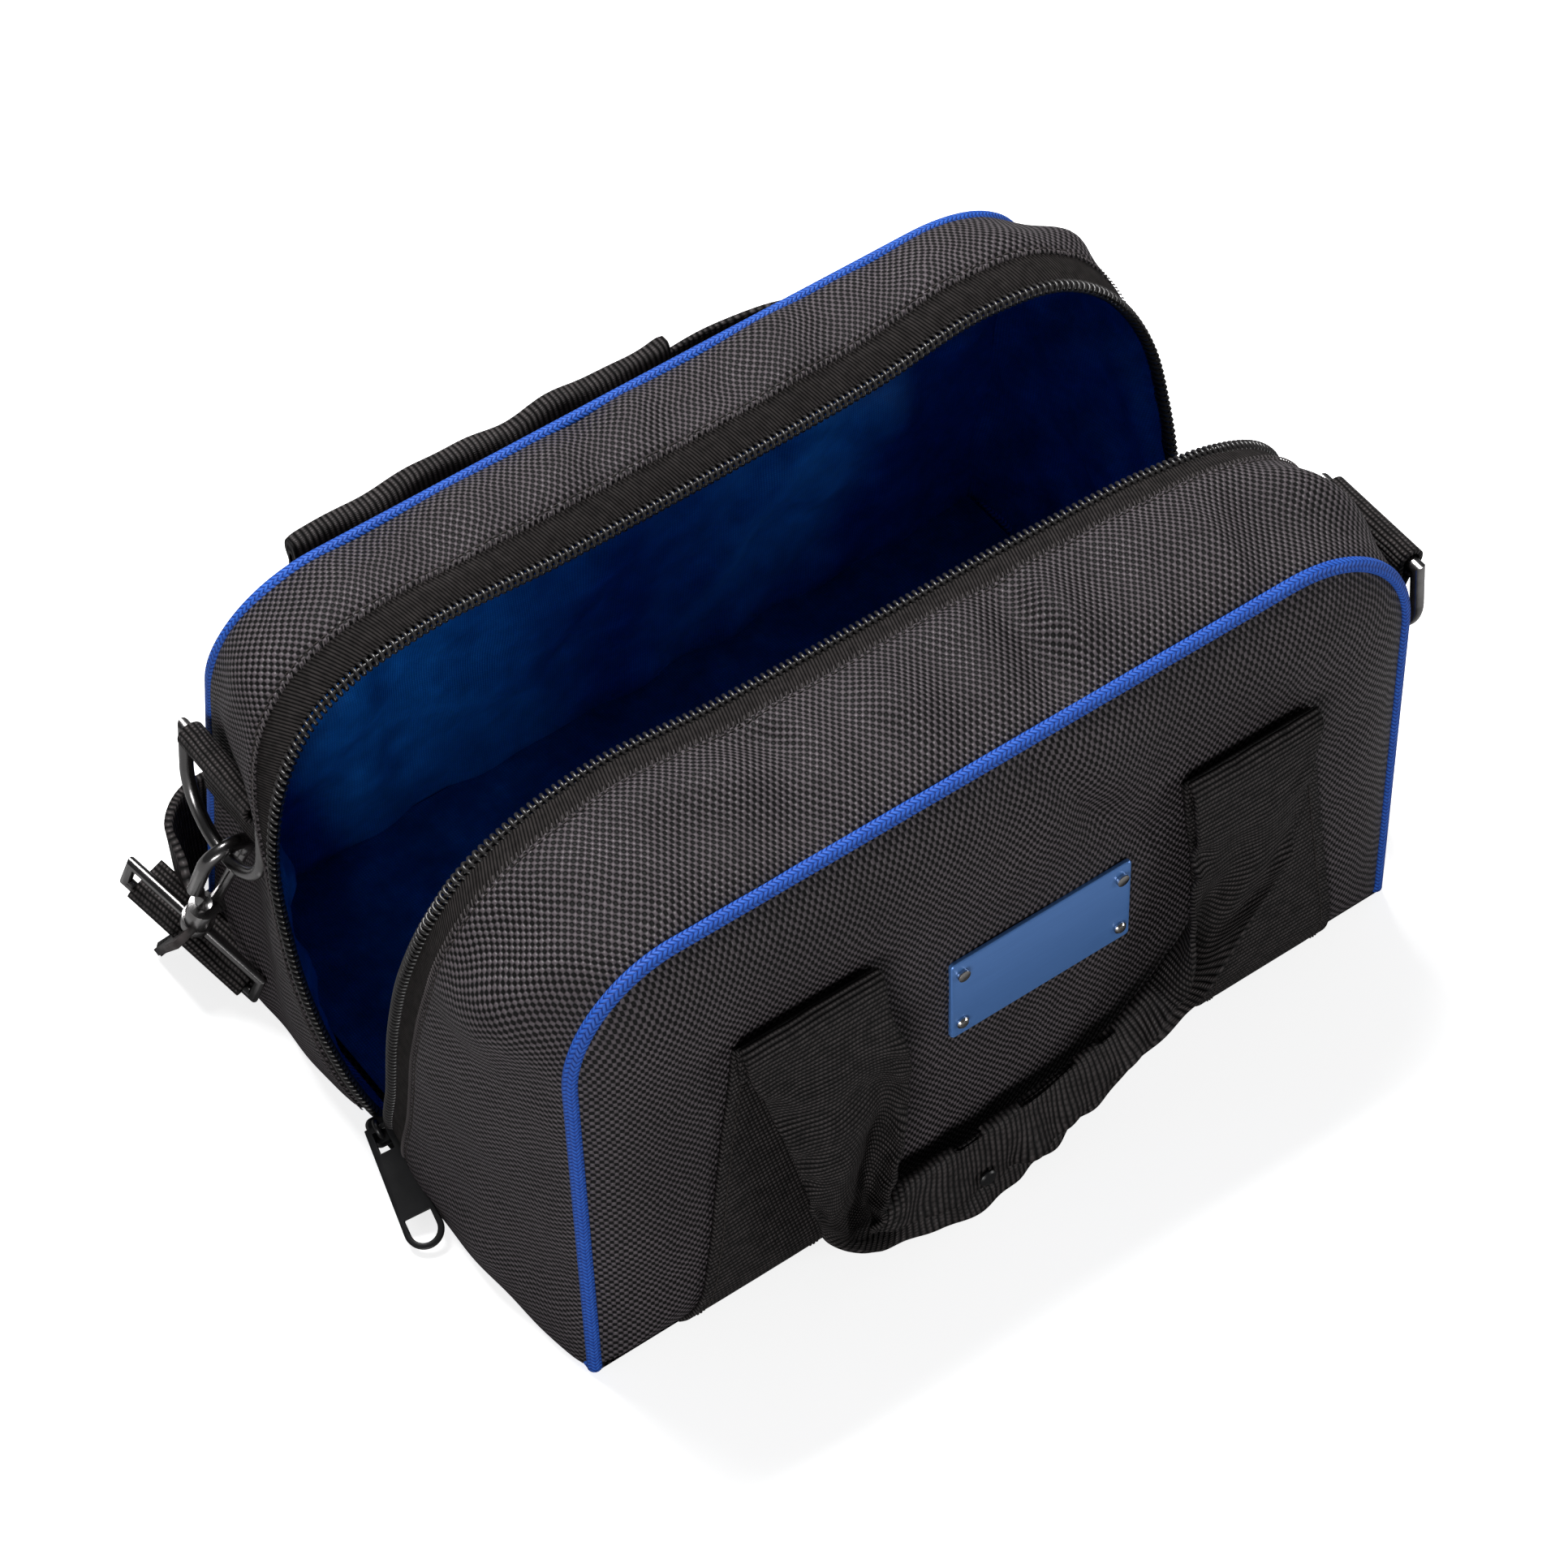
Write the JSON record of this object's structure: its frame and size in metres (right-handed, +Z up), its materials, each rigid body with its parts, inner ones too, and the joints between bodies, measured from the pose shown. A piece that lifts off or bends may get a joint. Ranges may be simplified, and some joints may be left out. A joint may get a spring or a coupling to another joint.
{
  "type": "soft zip carry bag",
  "caption": "Soft padded carry bag of woven cloth with a wide zip mouth, piped seams, carry handles, D-rings and a clip-on shoulder strap, standing open.",
  "frame": {"origin": "middle of the base panel's underside, on the floor", "axes": "+X along the bag from its left end to its right end, +Y from the front (name-plate side) to the back, +Z up"},
  "size_m": [0.366, 0.2636, 0.1927],
  "materials": {
    "outer_cloth": "coarse ballistic weave, slight sheen",
    "panel_cloth": "coarse ballistic weave, slight sheen",
    "padding": "matte closed-cell foam",
    "lining": "plain woven nylon, satin",
    "board": "matte",
    "piping": "braided cord, satin",
    "zip_tape": "knitted tape, matte",
    "zip_coil": "moulded coil, satin",
    "webbing": "ribbed webbing, matte",
    "grip_cloth": "woven cloth, matte",
    "nameplate": "anodised blue, satin",
    "rivet": "dark polished",
    "snap": "black painted, satin",
    "hardware": "black nickel, glossy",
    "hook": "black painted, glossy",
    "adjuster": "moulded, satin",
    "zip_slider": "black painted, satin"
  },
  "bodies": {
    "base": {"bottom_panel": "outer_cloth", "base_board": "board", "bottom_lining": "lining", "base_piping": "piping", "zip_slider": "zip_slider", "zip_stops": "zip_tape", "strap_webbing": "webbing"},
    "front_half": {"front_panel": "panel_cloth", "front_panel_foam": "padding", "front_gusset": "outer_cloth", "front_gusset_foam": "padding", "front_lining": "lining", "front_zip_tape": "zip_tape", "front_zip_coil": "zip_coil", "front_piping": "piping", "front_leg_left": "webbing", "front_leg_right": "webbing", "nameplate": "nameplate", "nameplate_rivets": "rivet", "ring_tab_right": "webbing"},
    "back_half": {"back_panel": "panel_cloth", "back_panel_foam": "padding", "back_gusset": "outer_cloth", "back_gusset_foam": "padding", "back_lining": "lining", "back_zip_tape": "zip_tape", "back_zip_coil": "zip_coil", "back_piping": "piping", "back_leg_left": "webbing", "back_leg_right": "webbing", "ring_tab_left": "webbing"},
    "front_handle": {"front_strip_left": "webbing", "front_strip_right": "webbing", "front_grip": "grip_cloth", "grip_snap": "snap"},
    "back_handle": {"back_handle_webbing": "webbing", "grip_wrap": "grip_cloth"},
    "zip_pull": {"zip_pull": "zip_slider"},
    "strap_adjuster": {"strap_adjuster": "adjuster"},
    "d_ring_left": {"d_ring_left": "hardware"},
    "snap_hook_left": {"snap_hook_left": "hook"},
    "hook_gate_left": {"hook_gate_left": "hook"},
    "strap_loop_left": {"strap_loop_left": "hardware", "strap_fold_left": "webbing"},
    "d_ring_right": {"d_ring_right": "hardware"},
    "snap_hook_right": {"snap_hook_right": "hook"},
    "hook_gate_right": {"hook_gate_right": "hook"},
    "strap_loop_right": {"strap_loop_right": "hardware", "strap_fold_right": "webbing"}
  },
  "joints": [
    {"name": "front_half_close", "type": "hinge", "parent": "base", "child": "front_half", "pos_m": [0, 0, 0.01], "axis": [1, 0, 0], "range_deg": [-14.7, 0], "deforming": ["strap_webbing"]},
    {"name": "back_half_close", "type": "hinge", "parent": "base", "child": "back_half", "pos_m": [0, 0, 0.01], "axis": [1, 0, 0], "range_deg": [0, 12.1], "deforming": ["strap_webbing"]},
    {"name": "front_handle_lift", "type": "hinge", "parent": "front_half", "child": "front_handle", "pos_m": [0, -0.12306, 0.14072], "axis": [1, 0, 0], "range_deg": [-165, 0]},
    {"name": "back_handle_fold", "type": "hinge", "parent": "back_half", "child": "back_handle", "pos_m": [0, 0.10706, 0.09428], "axis": [1, 0, 0], "range_deg": [-105, 0]},
    {"name": "d_ring_left_swing", "type": "hinge", "parent": "back_half", "child": "d_ring_left", "pos_m": [-0.16523, 0.069, 0.122], "axis": [0, 1, 0], "range_deg": [0, 75], "deforming": ["strap_webbing"]},
    {"name": "snap_hook_left_swing", "type": "hinge", "parent": "d_ring_left", "child": "snap_hook_left", "pos_m": [-0.16863, 0.069, 0.08315], "axis": [0, 0.9326, 0.361], "range_deg": [0, 60], "deforming": ["strap_webbing"]},
    {"name": "hook_gate_left_open", "type": "hinge", "parent": "snap_hook_left", "child": "hook_gate_left", "pos_m": [-0.16692, 0.08341, 0.04592], "axis": [0, 0.9326, 0.361], "range_deg": [-14, 0], "stiffness_Nm_per_rad": 0.02, "springref_deg": 17.19},
    {"name": "strap_loop_left_swivel", "type": "hinge", "parent": "snap_hook_left", "child": "strap_loop_left", "pos_m": [-0.17227, 0.08773, 0.03477], "axis": [-0.07, 0.3601, -0.9303], "range_deg": [-10, 10], "deforming": ["strap_webbing"]},
    {"name": "d_ring_right_swing", "type": "hinge", "parent": "front_half", "child": "d_ring_right", "pos_m": [0.16626, -0.078, 0.146], "axis": [0, 1, 0], "range_deg": [-75, 0], "deforming": ["strap_webbing"]},
    {"name": "snap_hook_right_swing", "type": "hinge", "parent": "d_ring_right", "child": "snap_hook_right", "pos_m": [0.16966, -0.078, 0.10715], "axis": [0, -0.9392, -0.3434], "range_deg": [0, 60], "deforming": ["strap_webbing"]},
    {"name": "hook_gate_right_open", "type": "hinge", "parent": "snap_hook_right", "child": "hook_gate_right", "pos_m": [0.16997, -0.06428, 0.06962], "axis": [0, -0.9392, -0.3434], "range_deg": [-14, 0], "stiffness_Nm_per_rad": 0.02, "springref_deg": 17.19},
    {"name": "strap_loop_right_swivel", "type": "hinge", "parent": "snap_hook_right", "child": "strap_loop_right", "pos_m": [0.17592, -0.06028, 0.05867], "axis": [0.1203, 0.3409, -0.9324], "range_deg": [-10, 10], "deforming": ["strap_webbing"]},
    {"name": "zip_pull_swing", "type": "hinge", "parent": "base", "child": "zip_pull", "pos_m": [-0.1661, -0.005, 0.018], "axis": [0.9297, -0.2524, 0.2683], "range_deg": [-90, 0]},
    {"name": "strap_adjuster_slide", "type": "slide", "parent": "base", "child": "strap_adjuster", "axis": [1, 0, 0], "range_m": [-0.06, 0.06]}
  ],
  "couplings": [
    {"joint": "back_half_close", "follows": "front_half_close", "ratio": -0.82313}
  ]
}
